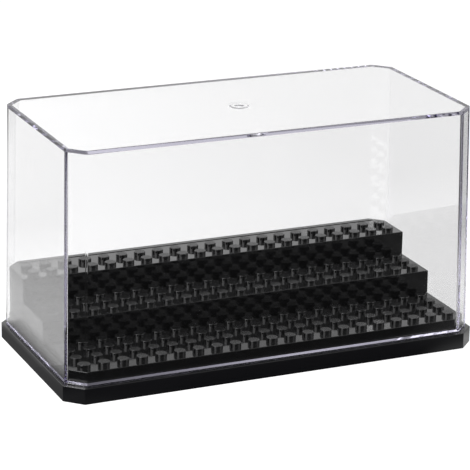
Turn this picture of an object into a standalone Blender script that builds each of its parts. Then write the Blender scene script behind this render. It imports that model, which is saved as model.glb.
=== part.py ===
# Tiered display case for small figures, made in Blender 4.5.
# A clear one-piece cover stands on the ledge of a black studded base, over two black steps that lift off.
# The front faces -Y, the width runs along X, and the base stands on z = 0. Lengths are in metres.

import math

import bmesh
import bpy
from mathutils import Matrix

mm = 0.001

# Studs, which set the scale of everything else
stud_pitch = 8.0 * mm
stud_diameter = 4.8 * mm
stud_height = 1.8 * mm
stud_front_margin = 1.0 * mm
stud_back_margin = 7.0 * mm
middle_rows = 3
rear_rows = 2
stud_sides = 10

# Base, whose width and depth set those of the steps and the cover
plinth_width = 179.6 * mm
plinth_depth = 89.2 * mm
plinth_height = 6.6 * mm
plinth_corner = 6.7 * mm
plinth_rounding = 0.25 * mm
foot_rounding = 0.15 * mm
deck_side_ledge = 3.8 * mm
deck_end_ledge = 4.6 * mm
deck_rise = 5.2 * mm
deck_corner = 5.3 * mm
deck_rounding = 0.25 * mm
base_wall = 2.0 * mm
base_rib = 1.6 * mm
base_rib_lift = 1.0 * mm

# Steps
step_rise = 10.0 * mm
step_side_inset = 0.3 * mm
step_back_inset = 0.2 * mm
step_end_wall = 1.6 * mm
step_top_wall = 1.8 * mm
step_rib = 1.2 * mm
step_rib_lift = 2.6 * mm
step_rounding = 0.25 * mm
step_corner_rounding = 0.4 * mm
rib_columns = 7
card_slot_width = 1.0 * mm
card_slot_depth = 1.8 * mm
card_slot_from_back = 3.3 * mm
card_slot_end = 4.8 * mm
card_rail_height = 3.0 * mm
card_rail_margin = 1.3 * mm

# Cover
cover_height = 93.9 * mm
cover_side_ledge = 1.35 * mm
cover_end_ledge = 2.05 * mm
cover_taper = 1.6 * mm
cover_corner = 6.5 * mm
cover_wall = 1.9 * mm
cover_top_wall = 1.7 * mm
cover_rounding = 0.25 * mm
gate_boss_radius = 3.7 * mm
gate_boss_drop = 1.6 * mm
gate_well_radius = 3.0 * mm
gate_well_depth = 1.4 * mm
gate_nub_radius = 0.9 * mm
gate_flare = 0.5 * mm
gate_sides = 20

# Fits
rest_gap = 0.3 * mm
overcut = 1.0 * mm
weld_depth = 0.4 * mm
smooth_angle = math.radians(40.0)
rounding_segments = 2
count_slack = 0.01

# Worked out from the sizes above
deck_width = plinth_width - 2 * deck_side_ledge
deck_depth = plinth_depth - 2 * deck_end_ledge
deck_height = plinth_height + deck_rise
step_width = deck_width - 2 * step_side_inset
rear_step_back_y = deck_depth / 2 - step_back_inset
card_slot_y = deck_depth / 2 - card_slot_from_back
card_slot_length = step_width - 2 * card_slot_end
cover_foot_z = plinth_height + rest_gap
cover_top_z = cover_foot_z + cover_height
cover_foot_width = plinth_width - 2 * cover_side_ledge
cover_foot_depth = plinth_depth - 2 * cover_end_ledge
stud_radius = stud_diameter / 2
stud_columns = int(step_width / stud_pitch + count_slack)
stud_rows = int((deck_depth - stud_front_margin - stud_back_margin) / stud_pitch + count_slack)
front_row_y = stud_front_margin + stud_pitch / 2 - deck_depth / 2
step_foot_z = deck_height + rest_gap
middle_first_y = front_row_y + (stud_rows - middle_rows - rear_rows) * stud_pitch
rear_first_y = middle_first_y + middle_rows * stud_pitch
step_face_inset = rest_gap / 2
step_wall = stud_pitch / 2 - stud_radius - step_face_inset - rest_gap
middle_front_y = middle_first_y - stud_pitch / 2 + step_face_inset
middle_back_y = rear_first_y - stud_pitch / 2 - step_face_inset
rear_front_y = rear_first_y - stud_pitch / 2 + step_face_inset
middle_top_z = deck_height + step_rise
rear_top_z = deck_height + 2 * step_rise
rib_x = rib_columns * stud_pitch / 2
diagonal_share = 2.0 - math.sqrt(2.0)


def clear_scene():
    for item in list(bpy.data.objects):
        bpy.data.objects.remove(item, do_unlink=True)


def make_material(name, colour, roughness, alpha=1.0, ior=1.5):
    material = bpy.data.materials.new(name)
    material.use_nodes = True
    shader = material.node_tree.nodes["Principled BSDF"]
    shader.inputs["Base Color"].default_value = (*colour, 1.0)
    shader.inputs["Roughness"].default_value = roughness
    shader.inputs["Metallic"].default_value = 0.0
    shader.inputs["Alpha"].default_value = alpha
    shader.inputs["IOR"].default_value = ior
    material.diffuse_color = (*colour, alpha)
    return material


def make_object(name, mesh_builder):
    mesh = bpy.data.meshes.new(name)
    mesh_builder.normal_update()
    mesh_builder.to_mesh(mesh)
    mesh_builder.free()
    item = bpy.data.objects.new(name, mesh)
    bpy.context.scene.collection.objects.link(item)
    return item


def cornered_outline(width, depth, front_corner, back_corner, centre_y=0.0):
    # The points round a rectangle with its corners cut off, anticlockwise.
    # A leg of zero leaves a square corner.
    outline = []
    corners = (
        (1, -1, front_corner),
        (1, 1, back_corner),
        (-1, 1, back_corner),
        (-1, -1, front_corner),
    )
    for side_x, side_y, leg in corners:
        corner_x = side_x * width / 2
        corner_y = centre_y + side_y * depth / 2
        along_x = (corner_x - side_x * leg, corner_y)
        along_y = (corner_x, corner_y - side_y * leg)
        if leg == 0.0:
            outline.append(along_x)
        elif side_x * side_y < 0:
            outline.extend((along_x, along_y))
        else:
            outline.extend((along_y, along_x))
    return outline


def round_edges(builder, edges, width):
    bmesh.ops.bevel(
        builder,
        geom=edges,
        offset=width,
        segments=rounding_segments,
        profile=0.5,
        affect="EDGES",
        material=-1,
    )


def loft(name, outlines, low_z, high_z, top_round=0.0, foot_round=0.0, upright_round=0.0):
    # A closed prism between a low and a high outline that have the same number of points.
    builder = bmesh.new()
    low = [builder.verts.new((x, y, low_z)) for x, y in outlines[0]]
    high = [builder.verts.new((x, y, high_z)) for x, y in outlines[1]]
    count = len(low)
    builder.faces.new(list(reversed(low)))
    builder.faces.new(high)
    for i in range(count):
        j = (i + 1) % count
        builder.faces.new((low[i], low[j], high[j], high[i]))
    middle_z = (low_z + high_z) / 2
    if upright_round > 0.0:
        uprights = [e for e in builder.edges if len({v.co.z > middle_z for v in e.verts}) == 2]
        round_edges(builder, uprights, upright_round)
    if top_round > 0.0:
        top_ring = [e for e in builder.edges if all(v.co.z > middle_z for v in e.verts)]
        round_edges(builder, top_ring, top_round)
    if foot_round > 0.0:
        foot_ring = [e for e in builder.edges if all(v.co.z < middle_z for v in e.verts)]
        round_edges(builder, foot_ring, foot_round)
    return make_object(name, builder)


def box(name, low_x, high_x, low_y, high_y, low_z, high_z):
    outline = [(low_x, low_y), (high_x, low_y), (high_x, high_y), (low_x, high_y)]
    return loft(name, (outline, outline), low_z, high_z)


def combine(target, tool, operation):
    # Joins or cuts one solid with another and removes the tool.
    modifier = target.modifiers.new(operation.title(), "BOOLEAN")
    modifier.operation = operation
    modifier.solver = "EXACT"
    modifier.object = tool
    with bpy.context.temp_override(object=target, active_object=target, selected_objects=[target]):
        bpy.ops.object.modifier_apply(modifier=modifier.name)
    bpy.data.objects.remove(tool, do_unlink=True)


def stud_grid(name, first_row_y, rows, deck_z):
    # Rows of round studs, sunk a little into the deck that they are joined to.
    builder = bmesh.new()
    half_turn_of_side = math.pi / stud_sides
    for row in range(rows):
        for column in range(stud_columns):
            x = (column - (stud_columns - 1) / 2) * stud_pitch
            y = first_row_y + row * stud_pitch
            z = deck_z + (stud_height - weld_depth) / 2
            place = Matrix.Translation((x, y, z)) @ Matrix.Rotation(half_turn_of_side, 4, "Z")
            bmesh.ops.create_cone(
                builder,
                cap_ends=True,
                segments=stud_sides,
                radius1=stud_radius,
                radius2=stud_radius,
                depth=stud_height + weld_depth,
                matrix=place,
            )
    return make_object(name, builder)


def finish(item, material, origin):
    # Moves the object's origin to where its joint acts, and shades its round faces smooth.
    item.data.transform(Matrix.Translation(origin).inverted())
    item.location = origin
    item.data.materials.clear()
    item.data.materials.append(material)
    item.data.shade_smooth()
    item.data.set_sharp_from_angle(angle=smooth_angle)
    return item


def inset_corner(leg, inset):
    # The leg of a cut corner after its outline has moved inwards by the same distance all round.
    return leg - inset * diagonal_share


def ribs_across(cavity, rib, low_y, high_y, low_z, high_z):
    # Ribs parallel to Y, between stud columns, left standing when the cavity is cut out.
    for side in (-1, 1):
        low_x = side * rib_x - rib / 2
        rib_box = box("rib", low_x, low_x + rib, low_y, high_y, low_z, high_z)
        combine(cavity, rib_box, "DIFFERENCE")


def build_base(material):
    plinth = cornered_outline(plinth_width, plinth_depth, plinth_corner, plinth_corner)
    base = loft(
        "base_tray",
        (plinth, plinth),
        0.0,
        plinth_height,
        top_round=plinth_rounding,
        foot_round=foot_rounding,
        upright_round=plinth_rounding,
    )
    deck = cornered_outline(deck_width, deck_depth, deck_corner, deck_corner)
    deck_block = loft(
        "deck",
        (deck, deck),
        plinth_height - weld_depth,
        deck_height,
        top_round=deck_rounding,
        upright_round=deck_rounding,
    )
    combine(base, deck_block, "UNION")

    rim_corner = inset_corner(plinth_corner, base_wall)
    rim_width = plinth_width - 2 * base_wall
    rim_depth = plinth_depth - 2 * base_wall
    rim = cornered_outline(rim_width, rim_depth, rim_corner, rim_corner)
    cavity = loft("cavity", (rim, rim), -overcut, plinth_height - base_wall)
    well_corner = inset_corner(deck_corner, base_wall)
    well_width = deck_width - 2 * base_wall
    well_depth = deck_depth - 2 * base_wall
    well = cornered_outline(well_width, well_depth, well_corner, well_corner)
    combine(cavity, loft("well", (well, well), 0.0, deck_height - base_wall), "UNION")
    reach = plinth_depth / 2 + overcut
    ribs_across(cavity, base_rib, -reach, reach, base_rib_lift, deck_height)
    span = plinth_width / 2 + overcut
    long_rib = box("long_rib", -span, span, -base_rib / 2, base_rib / 2, base_rib_lift, deck_height)
    combine(cavity, long_rib, "DIFFERENCE")
    combine(base, cavity, "DIFFERENCE")

    combine(base, stud_grid("base_studs", front_row_y, stud_rows, deck_height), "UNION")
    return finish(base, material, (0.0, 0.0, 0.0))


def build_step(name, material, front_y, back_y, top_z, first_row_y, rows, back_corner=0.0):
    # A hollow step. The rear one has cut back corners, and a slot for a backdrop card behind its studs.
    centre_y = (front_y + back_y) / 2
    outline = cornered_outline(step_width, back_y - front_y, 0.0, back_corner, centre_y)
    step = loft(
        name,
        (outline, outline),
        step_foot_z,
        top_z,
        top_round=step_rounding,
        upright_round=step_corner_rounding,
    )

    inner_corner = inset_corner(back_corner, step_wall) if back_corner > 0.0 else 0.0
    inner_width = step_width - 2 * step_end_wall
    inner_depth = back_y - front_y - 2 * step_wall
    hollow = cornered_outline(inner_width, inner_depth, 0.0, inner_corner, centre_y)
    cavity = loft("cavity", (hollow, hollow), step_foot_z - overcut, top_z - step_top_wall)
    if back_corner > 0.0:
        # The rail under the card slot stays solid.
        rail_front_y = card_slot_y - card_slot_width / 2 - card_rail_margin
        rail = box("rail", -step_width, step_width, rail_front_y, back_y, top_z - card_rail_height, top_z)
        combine(cavity, rail, "DIFFERENCE")
    ribs_across(cavity, step_rib, front_y - overcut, back_y + overcut, step_foot_z + step_rib_lift, top_z)
    combine(step, cavity, "DIFFERENCE")

    combine(step, stud_grid("step_studs", first_row_y, rows, top_z), "UNION")
    if back_corner > 0.0:
        slot_low_y = card_slot_y - card_slot_width / 2
        slot_high_y = card_slot_y + card_slot_width / 2
        slot_end = card_slot_length / 2
        floor_z = top_z - card_slot_depth
        slot = box("slot", -slot_end, slot_end, slot_low_y, slot_high_y, floor_z, top_z + overcut)
        combine(step, slot, "DIFFERENCE")
    return finish(step, material, (0.0, centre_y, step_foot_z))


def cover_outline(z, inset):
    # The cover's outline at a height, moved inwards by a wall, with the moulding taper.
    narrowing = cover_taper * (z - cover_foot_z) / cover_height
    width = cover_foot_width - 2 * (narrowing + inset)
    depth = cover_foot_depth - 2 * (narrowing + inset)
    corner = inset_corner(cover_corner, inset)
    return cornered_outline(width, depth, corner, corner)


def turned(name, profile):
    # A closed ring-shaped solid about the vertical axis, from a profile of radii and heights.
    builder = bmesh.new()
    rings = []
    for side in range(gate_sides):
        angle = 2 * math.pi * side / gate_sides
        rings.append([builder.verts.new((r * math.cos(angle), r * math.sin(angle), z)) for r, z in profile])
    count = len(profile)
    for side in range(gate_sides):
        here = rings[side]
        after = rings[(side + 1) % gate_sides]
        for i in range(count):
            j = (i + 1) % count
            builder.faces.new((here[i], after[i], after[j], here[j]))
    bmesh.ops.recalc_face_normals(builder, faces=builder.faces)
    return make_object(name, builder)


def gate_well():
    # The recess in the cover's top where the plastic entered the mould, round a small nub.
    floor_z = cover_top_z - gate_well_depth
    above_z = cover_top_z + gate_well_depth
    nub_low = gate_nub_radius + gate_flare / 2
    profile = [
        (nub_low, floor_z),
        (gate_well_radius, floor_z),
        (gate_well_radius + 2 * gate_flare, above_z),
        (gate_nub_radius, above_z),
    ]
    return turned("gate_well", profile)


def gate_boss():
    # The matching bump under the cover's top, which keeps the wall whole below the recess.
    builder = bmesh.new()
    high_z = cover_top_z - cover_top_wall + weld_depth
    low_z = cover_top_z - cover_top_wall - gate_boss_drop
    bmesh.ops.create_cone(
        builder,
        cap_ends=True,
        segments=gate_sides,
        radius1=gate_boss_radius,
        radius2=gate_boss_radius + gate_flare,
        depth=high_z - low_z,
        matrix=Matrix.Translation((0.0, 0.0, (high_z + low_z) / 2)),
    )
    return make_object("gate_boss", builder)


def build_cover(material):
    outside = (cover_outline(cover_foot_z, 0.0), cover_outline(cover_top_z, 0.0))
    cover = loft(
        "clear_cover",
        outside,
        cover_foot_z,
        cover_top_z,
        top_round=cover_rounding,
        upright_round=cover_rounding,
    )
    ceiling_z = cover_top_z - cover_top_wall
    below_z = cover_foot_z - overcut
    inside = (cover_outline(below_z, cover_wall), cover_outline(ceiling_z, cover_wall))
    combine(cover, loft("inside", inside, below_z, ceiling_z), "DIFFERENCE")
    combine(cover, gate_boss(), "UNION")
    combine(cover, gate_well(), "DIFFERENCE")
    return finish(cover, material, (0.0, 0.0, cover_foot_z))


def main():
    clear_scene()
    black = make_material("gloss_black_moulded_styrene", (0.012, 0.012, 0.013), 0.12, ior=1.57)
    clear = make_material("clear_moulded_styrene", (0.93, 0.93, 0.97), 0.03, alpha=0.22, ior=1.59)
    build_base(black)
    build_step(
        "middle_step",
        black,
        front_y=middle_front_y,
        back_y=middle_back_y,
        top_z=middle_top_z,
        first_row_y=middle_first_y,
        rows=middle_rows,
    )
    build_step(
        "rear_step",
        black,
        front_y=rear_front_y,
        back_y=rear_step_back_y,
        top_z=rear_top_z,
        first_row_y=rear_first_y,
        rows=rear_rows,
        back_corner=deck_corner,
    )
    build_cover(clear)


main()
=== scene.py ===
import math

import bmesh
import bpy
from mathutils import Matrix, Vector


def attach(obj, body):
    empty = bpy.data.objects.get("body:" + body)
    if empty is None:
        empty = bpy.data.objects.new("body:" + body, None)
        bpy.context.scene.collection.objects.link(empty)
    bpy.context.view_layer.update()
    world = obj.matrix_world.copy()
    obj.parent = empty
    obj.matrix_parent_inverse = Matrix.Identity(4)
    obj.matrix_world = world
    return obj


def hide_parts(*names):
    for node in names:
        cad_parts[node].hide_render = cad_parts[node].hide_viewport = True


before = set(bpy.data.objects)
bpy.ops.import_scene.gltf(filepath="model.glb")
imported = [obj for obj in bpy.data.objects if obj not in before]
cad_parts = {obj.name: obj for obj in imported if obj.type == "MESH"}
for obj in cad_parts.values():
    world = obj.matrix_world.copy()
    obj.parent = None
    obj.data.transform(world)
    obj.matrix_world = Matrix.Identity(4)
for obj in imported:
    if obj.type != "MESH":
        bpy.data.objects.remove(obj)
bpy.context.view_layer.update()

mm = 0.001
tiny = 0.001 * mm

camera = {
    "place": (-0.3706, -0.8344, 0.3463),
    "turnDegrees": 23.888,    # to the left of straight on
    "dipDegrees": 18.230,
    "rollDegrees": 0.822,
    "lens": 179.35,
    "sensor": 36.0,
}

studio = {
    "white": 1.0,             # what shows behind the case, straight or through the clear walls
    # height of a direction, as the sine of its angle up, and how bright glossy faces mirror the room there
    "roomGlow": ((0.00, 0.95), (0.21, 1.00), (0.275, 1.00), (0.315, 1.28), (0.335, 1.22), (0.355, 0.70),
                 (0.40, 0.50), (0.47, 0.42)),
    "leftShare": 1.08,        # the room fades a little from left to right
    "rightShare": 0.80,
    "sideFade": (0.25, 0.55), # between these parts of a direction to the right
    "frontShare": 0.85,       # and is darker behind the camera
    "frontFade": (-0.2, 0.0),
    # how far right a steep direction points, as a share of -1 to 1, and the glow overhead there
    "overheadGlow": ((0.00, 0.5), (0.20, 0.6), (0.24, 2.0), (0.45, 2.0), (0.49, 0.55), (0.61, 0.5), (0.655, 0.15),
                     (0.68, 0.42), (0.70, 0.85), (0.74, 0.75), (0.80, 0.5)),
    "overheadFrom": (0.62, 0.76),    # the part of a direction upwards where this takes over
    "floorColour": "#808080",
    "leftLift": 0.98,         # lifts the lit floor to white and leaves the shadow, more on the left
    "rightLift": 0.83,
    "liftFade": (-0.02, 0.17),       # metres to the right of the middle
    "floorSize": 6.0,
    # degrees to the left of straight in front, and watts, of two softboxes
    "softboxes": (("leftSoftbox", 59.0, 13.0), ("rightSoftbox", -56.0, 5.0)),
    "softboxRise": 18.0,      # degrees up
    "softboxDistance": 1.3,
    "softboxWidth": 0.95,
    "softboxTall": 0.80,
    # share of a turn from straight left, anticlockwise seen from above, and the glow that glossy faces mirror off the
    # floor there: painted reflections, and close to the plinth a painted shadow, darkest on the left
    "nearFloorWithPaintedShadow": ((0.00, 0.16), (0.06, 0.14), (0.10, 0.05), (0.14, 0.02), (0.40, 0.02), (0.42, 0.55), (0.45, 0.75),
                  (0.50, 0.85), (0.75, 0.80), (0.88, 0.50), (0.93, 0.18)),
    "farFloor": ((0.00, 0.80), (0.03, 0.40), (0.055, 0.03), (0.38, 0.03), (0.45, 0.30), (0.50, 0.95),
                 (0.75, 0.95), (0.86, 1.00), (0.97, 1.05)),
    "distantFloor": ((0.00, 0.70), (0.05, 0.03), (0.45, 0.03), (0.52, 0.10), (0.60, 0.10), (0.63, 0.45),
                     (0.79, 0.50), (0.83, 0.74), (0.88, 0.52)),
    "reaches": (0.0035, 0.0140, 0.050, 0.140),    # beyond the plinth's edge: near until, far from, until, distant from
    "plinthHalf": (0.0898, 0.0446),
    "bounces": 96,            # light runs far inside the cover's walls before it leaves at an edge
    "leastBounces": 16,       # the mirrored studs in the dark risers take several bounces
}

styreneIor = 1.59
flatDegrees = 0.5             # packed triangles that turn less than this are joined into one face
smoothDegrees = 50.0          # sharper edges than this keep a crisp shading
sameSize = 0.01 * mm * mm     # faces this close in area share a corner's shading evenly


def linearColour(hexColour):
    # sRGB hex to linear red, green, blue and full alpha
    values = [int(hexColour[i:i + 2], 16) / 255 for i in (1, 3, 5)]
    return tuple(v / 12.92 if v <= 0.04045 else ((v + 0.055) / 1.055) ** 2.4 for v in values) + (1.0,)


def addNode(tree, kind, inputs=None, **settings):
    # One node with its settings; an input is a value, or an output socket to link from
    node = tree.nodes.new(kind)
    for key, value in settings.items():
        setattr(node, key, value)
    for key, value in (inputs or {}).items():
        if isinstance(value, bpy.types.NodeSocket):
            tree.links.new(value, node.inputs[key])
        else:
            node.inputs[key].default_value = value
    return node


def newMaterial(name):
    material = bpy.data.materials.new(name)
    material.use_nodes = True
    tree = material.node_tree
    shader = tree.nodes["Principled BSDF"]
    return material, tree, shader


def glossBlackStyrene():
    # Black styrene moulded against polished steel: a deep gloss with a slow ripple, hairlines and a little dust
    look = {
        "colour": "#0C0C0E",
        "dustColour": "#3A3A3C",
        "rippleMm": 14.0,
        "rippleHeightMm": 0.004,
        "hairlineMm": 1.1,
        "hairlineStretch": (0.06, 1.0, 1.0),
        "hairlineTurn": (0, 0, 0.35),    # radians
        "hairlineSpread": (0.35, 0.75),  # the part of the noise that the gloss follows
        "dustMm": 0.35,       # real dust is finer; drawn this coarse so that it shows
        "dustSpread": (0.74, 0.80),
        "dustShare": 0.5,
        "roughLow": 0.035,
        "roughHigh": 0.085,
    }
    material, tree, shader = newMaterial("glossBlackMouldedStyrene")
    place = addNode(tree, "ShaderNodeTexCoord").outputs["Object"]
    ripple = addNode(tree, "ShaderNodeTexNoise", {
        "Vector": place, "Scale": 1 / (look["rippleMm"] * mm), "Detail": 2.0, "Roughness": 0.45})
    along = addNode(tree, "ShaderNodeMapping", {
        "Vector": place, "Scale": look["hairlineStretch"], "Rotation": look["hairlineTurn"]})
    hairline = addNode(tree, "ShaderNodeTexNoise", {
        "Vector": along.outputs["Vector"], "Scale": 1 / (look["hairlineMm"] * mm), "Detail": 5.0, "Roughness": 0.65})
    gloss = addNode(tree, "ShaderNodeMapRange", {
        "Value": hairline.outputs["Fac"], "From Min": look["hairlineSpread"][0], "From Max": look["hairlineSpread"][1],
        "To Min": look["roughLow"], "To Max": look["roughHigh"]})
    tree.links.new(gloss.outputs["Result"], shader.inputs["Roughness"])
    dust = addNode(tree, "ShaderNodeTexNoise", {
        "Vector": place, "Scale": 1 / (look["dustMm"] * mm), "Detail": 2.0, "Roughness": 0.5})
    specks = addNode(tree, "ShaderNodeMapRange", {
        "Value": dust.outputs["Fac"], "From Min": look["dustSpread"][0], "From Max": look["dustSpread"][1],
        "To Min": 0.0, "To Max": look["dustShare"]})
    colour = addNode(tree, "ShaderNodeMix", {
        "Factor": specks.outputs["Result"], "A": linearColour(look["colour"]), "B": linearColour(look["dustColour"])},
        data_type="RGBA")
    tree.links.new(colour.outputs["Result"], shader.inputs["Base Color"])
    bump = addNode(tree, "ShaderNodeBump", {
        "Height": ripple.outputs["Fac"], "Distance": look["rippleHeightMm"] * mm, "Strength": 1.0})
    tree.links.new(bump.outputs["Normal"], shader.inputs["Normal"])
    shader.inputs["IOR"].default_value = styreneIor
    return material


def etchedBlackStyrene():
    # The stud tops: the same black styrene from a finely etched part of the mould, so they look satin
    look = {
        "colour": "#0E0E10",
        "grainMm": 0.30,      # real grain is about a tenth of this; drawn coarser so that it shows
        "grainHeightMm": 0.006,
        "grainSpread": (0.3, 0.7),
        "roughLow": 0.22,
        "roughHigh": 0.30,
    }
    material, tree, shader = newMaterial("etchedBlackMouldedStyrene")
    place = addNode(tree, "ShaderNodeTexCoord").outputs["Object"]
    grain = addNode(tree, "ShaderNodeTexNoise", {
        "Vector": place, "Scale": 1 / (look["grainMm"] * mm), "Detail": 3.0, "Roughness": 0.6})
    gloss = addNode(tree, "ShaderNodeMapRange", {
        "Value": grain.outputs["Fac"], "From Min": look["grainSpread"][0], "From Max": look["grainSpread"][1],
        "To Min": look["roughLow"], "To Max": look["roughHigh"]})
    tree.links.new(gloss.outputs["Result"], shader.inputs["Roughness"])
    bump = addNode(tree, "ShaderNodeBump", {
        "Height": grain.outputs["Fac"], "Distance": look["grainHeightMm"] * mm, "Strength": 1.0})
    tree.links.new(bump.outputs["Normal"], shader.inputs["Normal"])
    shader.inputs["Base Color"].default_value = linearColour(look["colour"])
    shader.inputs["IOR"].default_value = styreneIor
    return material


def clearStyrene():
    # Crystal styrene with a trace of violet toner: clear through the wall, lavender along its thick edges
    look = {
        "surface": "#FFFFFF",
        "tint": "#CBC7DA",
        "tintDensity": 14.0,  # per metre
        "waveMm": 30.0,
        "waveHeightMm": 0.003,
        "smudgeMm": 22.0,
        "smudgeSpread": (0.55, 0.8),
        "roughLow": 0.0,
        "roughHigh": 0.035,
    }
    material, tree, shader = newMaterial("clearMouldedStyrene")
    place = addNode(tree, "ShaderNodeTexCoord").outputs["Object"]
    wave = addNode(tree, "ShaderNodeTexNoise", {
        "Vector": place, "Scale": 1 / (look["waveMm"] * mm), "Detail": 1.0, "Roughness": 0.4})
    bump = addNode(tree, "ShaderNodeBump", {
        "Height": wave.outputs["Fac"], "Distance": look["waveHeightMm"] * mm, "Strength": 1.0})
    tree.links.new(bump.outputs["Normal"], shader.inputs["Normal"])
    smudge = addNode(tree, "ShaderNodeTexNoise", {
        "Vector": place, "Scale": 1 / (look["smudgeMm"] * mm), "Detail": 6.0, "Roughness": 0.7})
    gloss = addNode(tree, "ShaderNodeMapRange", {
        "Value": smudge.outputs["Fac"], "From Min": look["smudgeSpread"][0], "From Max": look["smudgeSpread"][1],
        "To Min": look["roughLow"], "To Max": look["roughHigh"]})
    tree.links.new(gloss.outputs["Result"], shader.inputs["Roughness"])
    shader.inputs["Base Color"].default_value = linearColour(look["surface"])
    shader.inputs["Transmission Weight"].default_value = 1.0
    shader.inputs["IOR"].default_value = styreneIor
    toner = addNode(tree, "ShaderNodeVolumeAbsorption", {
        "Color": linearColour(look["tint"]), "Density": look["tintDensity"]})
    tree.links.new(toner.outputs["Volume"], tree.nodes["Material Output"].inputs["Volume"])
    return material


def makePiece(name, builder, materials):
    # Large faces stay flat right up to their rounded edges
    mesh = bpy.data.meshes.new(name)
    builder.normal_update()
    for face in builder.faces:
        face.smooth = True
    for edge in builder.edges:
        edge.smooth = edge.calc_face_angle(0.0) < math.radians(smoothDegrees)
    builder.to_mesh(mesh)
    builder.free()
    for material in materials:
        mesh.materials.append(material)
    piece = bpy.data.objects.new(name, mesh)
    bpy.context.scene.collection.objects.link(piece)
    flat = piece.modifiers.new("keepFlatFaces", "WEIGHTED_NORMAL")
    flat.keep_sharp = True
    flat.weight = 100
    flat.thresh = sameSize
    return piece


def bevelEdges(builder, edges, width, segments):
    return bmesh.ops.bevel(
        builder, geom=edges, offset=width, segments=segments, profile=0.5, affect="EDGES", material=-1)


stud = {
    "pitch": 8.0 * mm,
    "columns": 21,
    "radius": 2.4 * mm,
    "height": 1.8 * mm,
    "rimRounding": 0.22 * mm,
    "rimSegments": 2,
    "sides": 16,
}

baseTray = {"node": "base_tray", "deckZ": 11.8 * mm, "firstRowY": -35.0 * mm, "rows": 9}
lowerStep = {"node": "middle_step", "deckZ": 21.8 * mm, "firstRowY": -3.0 * mm, "rows": 3}
upperStep = {"node": "rear_step", "deckZ": 31.8 * mm, "firstRowY": 21.0 * mm, "rows": 2}


def studdedPiece(name, moulding):
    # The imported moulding, with its studs and deck skin made again in finer shapes
    deckZ = moulding["deckZ"]
    builder = bmesh.new()
    builder.from_mesh(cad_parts[moulding["node"]].data)
    bmesh.ops.remove_doubles(builder, verts=builder.verts, dist=tiny)
    oldTop = [f for f in builder.faces if all(v.co.z > deckZ - 2 * tiny for v in f.verts)]
    bmesh.ops.delete(builder, geom=oldTop, context="FACES")
    bmesh.ops.dissolve_limit(
        builder, angle_limit=math.radians(flatDegrees), verts=builder.verts, edges=builder.edges, delimit={"NORMAL"})
    rim = [e for e in builder.edges if e.is_boundary]
    discs = []                # the floor of each stud, in the new deck skin
    for row in range(moulding["rows"]):
        for column in range(stud["columns"]):
            across = (column - (stud["columns"] - 1) / 2) * stud["pitch"]
            centre = Vector((across, moulding["firstRowY"] + row * stud["pitch"], deckZ))
            ring = bmesh.ops.create_circle(
                builder, cap_ends=True, segments=stud["sides"], radius=stud["radius"],
                matrix=Matrix.Translation(centre))
            discs.append(ring["verts"][0].link_faces[0])
    rings = [e for disc in discs for e in disc.edges]
    bmesh.ops.triangle_fill(builder, use_beauty=True, use_dissolve=False, edges=rim + rings, normal=(0, 0, 1))
    deckFaces = [f for f in builder.faces if all(abs(v.co.z - deckZ) < 2 * tiny for v in f.verts)]
    for face in deckFaces:
        face.normal_update()
        if face.normal.z < 0:
            face.normal_flip()
    caps = bmesh.ops.extrude_discrete_faces(builder, faces=discs)["faces"]
    bmesh.ops.translate(builder, vec=(0, 0, stud["height"]), verts=[v for cap in caps for v in cap.verts])
    rims = [e for cap in caps for e in cap.edges]
    bevelEdges(builder, rims, stud["rimRounding"], stud["rimSegments"])
    capZ = deckZ + stud["height"]
    for face in builder.faces:
        if len(face.verts) == stud["sides"] and all(abs(v.co.z - capZ) < 2 * tiny for v in face.verts):
            face.material_index = 1
        else:
            face.material_index = 0
    return makePiece(name, builder, [glossBlack, etchedBlack])


cover = {
    "footWidth": 176.9 * mm,
    "footDepth": 85.1 * mm,
    "footZ": 6.9 * mm,
    "topZ": 100.8 * mm,
    "taper": 1.6 * mm,        # per side, from foot to top
    "cornerLeg": 6.5 * mm,
    "wall": 1.9 * mm,
    "topWall": 1.7 * mm,
    "edgeRounding": 0.08 * mm,
    "innerRounding": 0.12 * mm,
    "footRounding": 0.08 * mm,
    "footFlat": 0.8 * mm,     # the rest of the foot rises inwards, to lead the cover over the deck
    "footRise": 0.65 * mm,
    "edgeSegments": 2,
    "cornerOuter": 0.50 * mm, # the uprights between the panels
    "cornerOuterSegments": 6,
    "cornerInner": 0.30 * mm,
    "cornerInnerSegments": 4,
    "markSides": 48,
    # radius and depth in mm of the moulding mark on top, from its outside to its middle
    "markTop": ((7.0, 0.0), (5.6, 0.015), (4.3, 0.04), (3.4, 0.07), (2.0, 0.09)),
    "markBelow": ((4.1, 0.0), (3.95, 0.05), (3.8, 0.22), (3.6, 0.42), (3.3, 0.52), (2.4, 0.56), (1.3, 0.52),
                  (0.9, 0.38), (0.5, 0.3)),
}


def bodyUprights(builder, atLeast):
    return [e for e in builder.edges if abs(e.verts[0].co.z - e.verts[1].co.z) > atLeast]


def edgesAt(builder, z):
    return [e for e in builder.edges if all(abs(v.co.z - z) < tiny for v in e.verts)]


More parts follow.
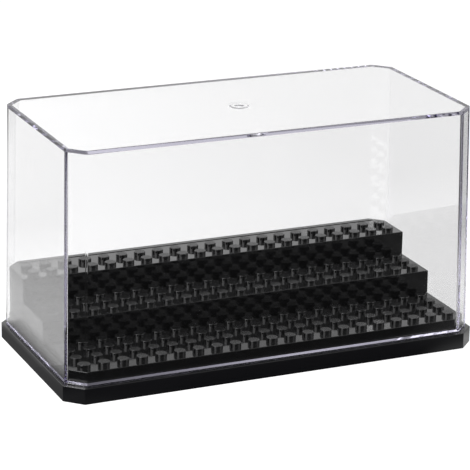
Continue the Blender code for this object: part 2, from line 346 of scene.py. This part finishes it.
def sinkMark(builder, z, profile):
    # Cuts a round opening in the flat face at z and closes it with a turned dish
    face = max((f for f in builder.faces if all(abs(v.co.z - z) < tiny for v in f.verts)), key=lambda f: f.calc_area())
    border = list(face.edges)
    bmesh.ops.delete(builder, geom=[face], context="FACES_ONLY")
    ring = bmesh.ops.create_circle(
        builder, cap_ends=False, segments=cover["markSides"], radius=profile[0][0] * mm,
        matrix=Matrix.Translation((0, 0, z)))
    rings = list({e for v in ring["verts"] for e in v.link_edges})
    bmesh.ops.triangle_fill(builder, use_beauty=True, use_dissolve=False, edges=border + rings, normal=(0, 0, 1))
    for radius, depth in profile[1:]:
        grown = bmesh.ops.extrude_edge_only(builder, edges=rings)["geom"]
        points = [g for g in grown if isinstance(g, bmesh.types.BMVert)]
        rings = [g for g in grown if isinstance(g, bmesh.types.BMEdge)]
        for point in points:
            along = Vector((point.co.x, point.co.y)).normalized() * radius * mm
            point.co = (along.x, along.y, z - depth * mm)
    bmesh.ops.contextual_create(builder, geom=rings)


def narrow(builder, z, perSide):
    for side in (-1, 1):
        for axis in (0, 1):
            moved = [v for v in builder.verts if abs(v.co.z - z) < tiny and v.co[axis] * side > 0]
            step = Vector((0, 0, 0))
            step[axis] = -side * perSide
            bmesh.ops.translate(builder, vec=step, verts=moved)


def buildCover():
    height = cover["topZ"] - cover["footZ"]
    ceilingZ = cover["topZ"] - cover["topWall"]
    builder = bmesh.new()
    bmesh.ops.create_cube(builder, size=1.0)
    bmesh.ops.scale(builder, vec=(cover["footWidth"], cover["footDepth"], height), verts=builder.verts)
    bmesh.ops.translate(builder, vec=(0, 0, cover["footZ"] + height / 2), verts=builder.verts)
    bevelEdges(builder, bodyUprights(builder, height / 2), cover["cornerLeg"], 1)
    foot = [f for f in builder.faces if all(abs(v.co.z - cover["footZ"]) < tiny for v in f.verts)]
    bmesh.ops.inset_individual(builder, faces=foot, thickness=cover["footFlat"], depth=0.0)
    bmesh.ops.inset_individual(builder, faces=foot, thickness=cover["wall"] - cover["footFlat"], depth=0.0)
    bmesh.ops.translate(builder, vec=(0, 0, cover["footRise"]), verts=[v for f in foot for v in f.verts])
    ceiling = bmesh.ops.extrude_discrete_faces(builder, faces=foot)["faces"]
    rise = ceilingZ - cover["footZ"] - cover["footRise"]
    bmesh.ops.translate(builder, vec=(0, 0, rise), verts=[v for f in ceiling for v in f.verts])
    narrow(builder, cover["topZ"], cover["taper"])
    narrow(builder, ceilingZ, cover["taper"] * (ceilingZ - cover["footZ"]) / height)
    uprights = bodyUprights(builder, height / 2)
    outerUprights = [e for e in uprights if max(v.co.z for v in e.verts) > ceilingZ + tiny]
    innerUprights = [e for e in uprights if e not in outerUprights]
    bevelEdges(builder, outerUprights, cover["cornerOuter"], cover["cornerOuterSegments"])
    innerUprights = [e for e in innerUprights if e.is_valid]
    bevelEdges(builder, innerUprights, cover["cornerInner"], cover["cornerInnerSegments"])
    bevelEdges(builder, edgesAt(builder, cover["topZ"]), cover["edgeRounding"], cover["edgeSegments"])
    bevelEdges(builder, edgesAt(builder, ceilingZ), cover["innerRounding"], cover["edgeSegments"])
    footEdges = [e for e in edgesAt(builder, cover["footZ"]) if any(abs(f.normal.z) < 0.5 for f in e.link_faces)]
    bevelEdges(builder, footEdges, cover["footRounding"], cover["edgeSegments"])
    sinkMark(builder, cover["topZ"], cover["markTop"])
    sinkMark(builder, ceilingZ, cover["markBelow"])
    bmesh.ops.recalc_face_normals(builder, faces=builder.faces)
    return makePiece("clearCover", builder, [clearPlastic])


def buildStudio():
    scene = bpy.context.scene
    scene.view_settings.view_transform = "Standard"
    scene.cycles.max_bounces = studio["bounces"]
    scene.cycles.glossy_bounces = studio["bounces"]
    scene.cycles.transmission_bounces = studio["bounces"]
    scene.cycles.min_light_bounces = studio["leastBounces"]
    world = bpy.data.worlds.new("softStudio")
    scene.world = world
    world.use_nodes = True
    tree = world.node_tree
    tree.nodes.clear()
    seen = seenStraight(tree)
    way = addNode(tree, "ShaderNodeSeparateXYZ", {
        "Vector": addNode(tree, "ShaderNodeTexCoord").outputs["Generated"]})
    height = glowRamp(tree, way.outputs["Z"], studio["roomGlow"])
    side = addNode(tree, "ShaderNodeMapRange", {
        "Value": way.outputs["X"], "From Min": studio["sideFade"][0], "From Max": studio["sideFade"][1],
        "To Min": studio["leftShare"], "To Max": studio["rightShare"]})
    front = addNode(tree, "ShaderNodeMapRange", {
        "Value": way.outputs["Y"], "From Min": studio["frontFade"][0], "From Max": studio["frontFade"][1],
        "To Min": studio["frontShare"], "To Max": 1.0})
    glow = addNode(tree, "ShaderNodeMath", {0: height, 1: side.outputs[0]}, operation="MULTIPLY")
    shaded = addNode(tree, "ShaderNodeMath", {0: glow.outputs[0], 1: front.outputs[0]}, operation="MULTIPLY")
    sideways = addNode(tree, "ShaderNodeMapRange", {"Value": way.outputs["X"], "From Min": -1.0, "From Max": 1.0})
    overhead = glowRamp(tree, sideways.outputs[0], studio["overheadGlow"])
    steep = addNode(tree, "ShaderNodeMapRange", {
        "Value": way.outputs["Z"], "From Min": studio["overheadFrom"][0], "From Max": studio["overheadFrom"][1]})
    room = addNode(tree, "ShaderNodeMix", {"Factor": steep.outputs[0], "A": shaded.outputs[0], "B": overhead})
    strength = addNode(tree, "ShaderNodeMix", {"Factor": seen, "A": room.outputs["Result"], "B": studio["white"]})
    surround = addNode(tree, "ShaderNodeBackground", {
        "Color": (1, 1, 1, 1), "Strength": strength.outputs["Result"]})
    addNode(tree, "ShaderNodeOutputWorld", {"Surface": surround.outputs["Background"]})

    builder = bmesh.new()
    bmesh.ops.create_grid(builder, x_segments=1, y_segments=1, size=studio["floorSize"] / 2)
    mesh = bpy.data.meshes.new("studioFloor")
    builder.to_mesh(mesh)
    builder.free()
    floor = bpy.data.objects.new("studioFloor", mesh)
    scene.collection.objects.link(floor)
    mesh.materials.append(studioFloorPaper())

    for name, angleDegrees, watts in studio["softboxes"]:
        lamp = bpy.data.lights.new(name, "AREA")
        lamp.shape = "RECTANGLE"
        lamp.size = studio["softboxWidth"]
        lamp.size_y = studio["softboxTall"]
        lamp.energy = watts
        softbox = bpy.data.objects.new(name, lamp)
        scene.collection.objects.link(softbox)
        angle = math.radians(angleDegrees)
        rise = math.radians(studio["softboxRise"])
        toLamp = Vector((-math.sin(angle) * math.cos(rise), -math.cos(angle) * math.cos(rise), math.sin(rise)))
        turned = toLamp.to_track_quat("Z", "Y").to_matrix().to_4x4()
        softbox.matrix_world = Matrix.Translation(toLamp * studio["softboxDistance"]) @ turned


def seenStraight(tree):
    # One for what the camera sees straight or through clear walls, zero after any bounce off a surface
    path = addNode(tree, "ShaderNodeLightPath")
    noGloss = addNode(tree, "ShaderNodeMath", {0: path.outputs["Glossy Depth"], 1: 0.5}, operation="LESS_THAN")
    noDiffuse = addNode(tree, "ShaderNodeMath", {0: path.outputs["Diffuse Depth"], 1: 0.5}, operation="LESS_THAN")
    both = addNode(tree, "ShaderNodeMath", {0: noGloss.outputs[0], 1: noDiffuse.outputs[0]}, operation="MULTIPLY")
    return both.outputs[0]


def glowRamp(tree, value, stops):
    ramp = addNode(tree, "ShaderNodeValToRGB", {"Fac": value})
    while len(ramp.color_ramp.elements) < len(stops):
        ramp.color_ramp.elements.new(0.5)
    for element, (position, glow) in zip(ramp.color_ramp.elements, stops):
        element.position = position
        element.color = (glow, glow, glow, 1.0)
    return ramp.outputs["Color"]


def studioFloorPaper():
    # Matt white paper as the camera sees it, white with the case's shadow; glossy faces instead mirror a painted glow,
    # painted reflections of a room that is dark in front, with a painted shadow close to the plinth
    material, tree, shader = newMaterial("whitePaperWithPaintedReflections")
    tree.nodes.remove(shader)
    seen = seenStraight(tree)
    place = addNode(tree, "ShaderNodeTexCoord").outputs["Object"]
    around = addNode(tree, "ShaderNodeTexGradient", {"Vector": place}, gradient_type="RADIAL")
    near = glowRamp(tree, around.outputs["Fac"], studio["nearFloorWithPaintedShadow"])
    far = glowRamp(tree, around.outputs["Fac"], studio["farFloor"])
    distant = glowRamp(tree, around.outputs["Fac"], studio["distantFloor"])
    spot = addNode(tree, "ShaderNodeSeparateXYZ", {"Vector": place})
    aside = addNode(tree, "ShaderNodeMath", {0: spot.outputs["X"]}, operation="ABSOLUTE")
    ahead = addNode(tree, "ShaderNodeMath", {0: spot.outputs["Y"]}, operation="ABSOLUTE")
    halfWidth, halfDepth = studio["plinthHalf"]
    pastSide = addNode(tree, "ShaderNodeMath", {0: aside.outputs[0], 1: halfWidth}, operation="SUBTRACT")
    pastFront = addNode(tree, "ShaderNodeMath", {0: ahead.outputs[0], 1: halfDepth}, operation="SUBTRACT")
    past = addNode(tree, "ShaderNodeMath", {0: pastSide.outputs[0], 1: pastFront.outputs[0]}, operation="MAXIMUM")
    # Close to the plinth the mirrored glow darkens: a painted shadow
    reaches = studio["reaches"]
    reach = addNode(tree, "ShaderNodeMapRange", {
        "Value": past.outputs[0], "From Min": reaches[0], "From Max": reaches[1]})
    glow = addNode(tree, "ShaderNodeMix", {"Factor": reach.outputs["Result"], "A": near, "B": far}, data_type="RGBA")
    wide = addNode(tree, "ShaderNodeMapRange", {
        "Value": past.outputs[0], "From Min": reaches[2], "From Max": reaches[3]})
    fullGlow = addNode(tree, "ShaderNodeMix", {
        "Factor": wide.outputs["Result"], "A": glow.outputs["Result"], "B": distant}, data_type="RGBA")
    # Painted reflection: after any bounce the floor glows by place, from the ramps above, instead of being lit
    paintedReflection = addNode(tree, "ShaderNodeEmission", {"Color": fullGlow.outputs["Result"], "Strength": 1.0})
    paper = addNode(tree, "ShaderNodeBsdfDiffuse", {"Color": linearColour(studio["floorColour"])})
    share = addNode(tree, "ShaderNodeMapRange", {
        "Value": spot.outputs["X"], "From Min": studio["liftFade"][0], "From Max": studio["liftFade"][1],
        "To Min": studio["leftLift"], "To Max": studio["rightLift"]})
    lift = addNode(tree, "ShaderNodeEmission", {"Color": (1, 1, 1, 1), "Strength": share.outputs["Result"]})
    white = addNode(tree, "ShaderNodeAddShader", {0: paper.outputs["BSDF"], 1: lift.outputs["Emission"]})
    look = addNode(tree, "ShaderNodeMixShader", {0: seen, 1: paintedReflection.outputs["Emission"], 2: white.outputs["Shader"]})
    tree.links.new(look.outputs["Shader"], tree.nodes["Material Output"].inputs["Surface"])
    return material


def placeCamera():
    data = bpy.data.cameras.new("photoCamera")
    data.lens = camera["lens"]
    data.sensor_width = camera["sensor"]
    item = bpy.data.objects.new("photoCamera", data)
    bpy.context.scene.collection.objects.link(item)
    turn = math.radians(camera["turnDegrees"])
    dip = math.radians(camera["dipDegrees"])
    ahead = Vector((math.sin(turn) * math.cos(dip), math.cos(turn) * math.cos(dip), -math.sin(dip)))
    level = Vector((math.cos(turn), -math.sin(turn), 0.0))
    axes = Matrix((level, level.cross(ahead), -ahead)).transposed().to_4x4()
    rolled = axes @ Matrix.Rotation(math.radians(camera["rollDegrees"]), 4, "Z")
    item.matrix_world = Matrix.Translation(camera["place"]) @ rolled
    bpy.context.scene.camera = item


placeCamera()
glossBlack = glossBlackStyrene()
etchedBlack = etchedBlackStyrene()
clearPlastic = clearStyrene()
print("camera and materials made")

baseMoulding = studdedPiece("baseMoulding", baseTray)
middleStep = studdedPiece("middleStepMoulding", lowerStep)
rearStep = studdedPiece("rearStepMoulding", upperStep)
print("black mouldings made")

clearCover = buildCover()
print("cover made")

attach(baseMoulding, "base")
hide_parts("base_tray")
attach(middleStep, "lower_riser")
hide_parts("middle_step")
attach(rearStep, "upper_riser")
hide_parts("rear_step")
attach(clearCover, "cover")
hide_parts("clear_cover")

buildStudio()
print("studio made")
